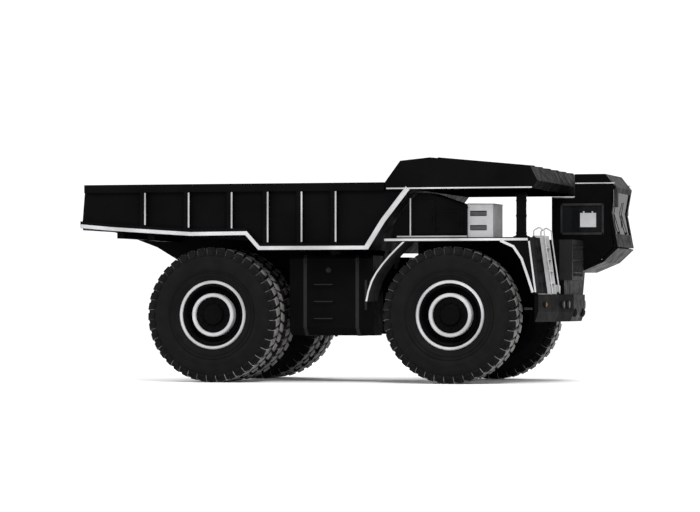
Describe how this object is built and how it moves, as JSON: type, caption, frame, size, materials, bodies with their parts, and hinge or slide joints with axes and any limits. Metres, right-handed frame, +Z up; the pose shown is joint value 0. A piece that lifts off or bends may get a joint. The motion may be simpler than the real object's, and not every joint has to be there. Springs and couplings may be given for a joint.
{
  "type": "mining dump truck",
  "caption": "rigid-frame haul truck with tipping ribbed bed, overhanging canopy, offset cab, front steering, twin rear tyres and hoist cylinders",
  "frame": {"origin": "on the ground, at the middle of the truck's length and width", "axes": "+X forward, +Y to the driver's left, +Z up"},
  "size_m": [10.42, 5.2, 4.45],
  "materials": {
    "black_paint": "satin black machine paint, a little dusty",
    "silver_paint": "silver-white paint on wheel rims and ladder",
    "grey_paint": "light grey paint",
    "dark_steel": "dark oily castings",
    "polished_steel": "hard-chromed rod",
    "tyre": "black earthmover rubber with dusty tread",
    "tinted_glass": "dark tinted safety glass",
    "seat_fabric": "dark woven seat cover"
  },
  "bodies": {
    "chassis": {"chassis_frame": "black_paint", "strut_carrier_right": "dark_steel", "strut_carrier_left": "dark_steel", "front_bumper": "black_paint", "radiator": "dark_steel", "engine_hood": "black_paint", "engine_block": "dark_steel", "deck_right": "black_paint", "deck_left": "black_paint", "fuel_tank": "black_paint", "hydraulic_tank": "black_paint", "rear_axle": "dark_steel", "rear_cylinder_left": "dark_steel", "rear_cylinder_right": "dark_steel", "front_strut_left": "dark_steel", "front_strut_right": "dark_steel", "cab_floor": "black_paint", "cab_front": "black_paint", "cab_roof": "black_paint", "cab_rear": "black_paint", "cab_side_right": "black_paint", "cab_side_left": "black_paint", "windshield": "tinted_glass", "side_window": "tinted_glass", "driver_seat": "seat_fabric", "instrument_panel": "dark_steel", "control_cabinet": "black_paint", "cooling_air_box": "grey_paint", "intake_stack": "black_paint", "front_ladder": "silver_paint"},
    "bed": {"bed_floor": "black_paint", "bed_bolster_right": "black_paint", "bed_bolster_left": "black_paint", "bed_headboard": "black_paint", "bed_canopy": "black_paint", "bed_side_left": "black_paint", "bed_side_right": "black_paint"},
    "left_hoist": {"hoist_barrel_left": "dark_steel"},
    "left_hoist_rod": {"hoist_rod_left": "polished_steel"},
    "right_hoist": {"hoist_barrel_right": "dark_steel"},
    "right_hoist_rod": {"hoist_rod_right": "polished_steel"},
    "left_steering": {"knuckle_left": "dark_steel"},
    "right_steering": {"knuckle_right": "dark_steel"},
    "steering_link": {"tie_rod": "dark_steel"},
    "left_front_wheel": {"tyre_front_left": "tyre", "rim_front_left": "silver_paint"},
    "right_front_wheel": {"tyre_front_right": "tyre", "rim_front_right": "silver_paint"},
    "left_rear_wheels": {"tyre_rear_outer_left": "tyre", "tyre_rear_inner_left": "tyre", "rim_rear_left": "silver_paint"},
    "right_rear_wheels": {"tyre_rear_outer_right": "tyre", "tyre_rear_inner_right": "tyre", "rim_rear_right": "silver_paint"},
    "door": {"cab_door": "black_paint", "door_window": "tinted_glass"}
  },
  "joints": [
    {"name": "bed_tip", "type": "hinge", "parent": "chassis", "child": "bed", "pos_m": [-3.51, 0, 2.12], "axis": [0, -1, 0], "range_deg": [0, 45]},
    {"name": "left_hoist_swing", "type": "hinge", "parent": "chassis", "child": "left_hoist", "pos_m": [-1.56, 0.22, 1.35], "axis": [0, -1, 0], "range_deg": [0, 51]},
    {"name": "left_hoist_extend", "type": "slide", "parent": "left_hoist", "child": "left_hoist_rod", "axis": [0.8469, 0, 0.5317], "range_m": [0, 1.58]},
    {"name": "right_hoist_swing", "type": "hinge", "parent": "chassis", "child": "right_hoist", "pos_m": [-1.56, -0.22, 1.35], "axis": [0, -1, 0], "range_deg": [0, 51]},
    {"name": "right_hoist_extend", "type": "slide", "parent": "right_hoist", "child": "right_hoist_rod", "axis": [0.8469, 0, 0.5317], "range_m": [0, 1.58]},
    {"name": "steer_left", "type": "hinge", "parent": "chassis", "child": "left_steering", "pos_m": [2.38, 1.48, 1.35], "axis": [0, 0, 1], "range_deg": [-31, 31]},
    {"name": "steer_right", "type": "hinge", "parent": "chassis", "child": "right_steering", "pos_m": [2.38, -1.48, 1.35], "axis": [0, 0, 1], "range_deg": [-31, 31]},
    {"name": "link_swing", "type": "hinge", "parent": "left_steering", "child": "steering_link", "pos_m": [1.83, 1.48, 1.04], "axis": [0, 0, 1], "range_deg": [-31, 31]},
    {"name": "left_front_roll", "type": "hinge", "parent": "left_steering", "child": "left_front_wheel", "pos_m": [2.38, 2.03, 1.35], "axis": [0, 1, 0], "continuous": true},
    {"name": "right_front_roll", "type": "hinge", "parent": "right_steering", "child": "right_front_wheel", "pos_m": [2.38, -2.03, 1.35], "axis": [0, 1, 0], "continuous": true},
    {"name": "left_rear_roll", "type": "hinge", "parent": "chassis", "child": "left_rear_wheels", "pos_m": [-2.51, 1.6, 1.35], "axis": [0, 1, 0], "continuous": true},
    {"name": "right_rear_roll", "type": "hinge", "parent": "chassis", "child": "right_rear_wheels", "pos_m": [-2.51, -1.6, 1.35], "axis": [0, 1, 0], "continuous": true},
    {"name": "door_swing", "type": "hinge", "parent": "chassis", "child": "door", "pos_m": [4.81, 2.525, 3.06], "axis": [0, 0, -1], "range_deg": [0, 80]}
  ],
  "couplings": [
    {"joint": "left_hoist_swing", "follows": "bed_tip", "ratio": 1.1322},
    {"joint": "left_hoist_extend", "follows": "bed_tip", "m_per_rad": 2.0092},
    {"joint": "right_hoist_swing", "follows": "bed_tip", "ratio": 1.1322},
    {"joint": "right_hoist_extend", "follows": "bed_tip", "m_per_rad": 2.0092},
    {"joint": "steer_right", "follows": "steer_left", "ratio": 1},
    {"joint": "link_swing", "follows": "steer_left", "ratio": -1}
  ]
}
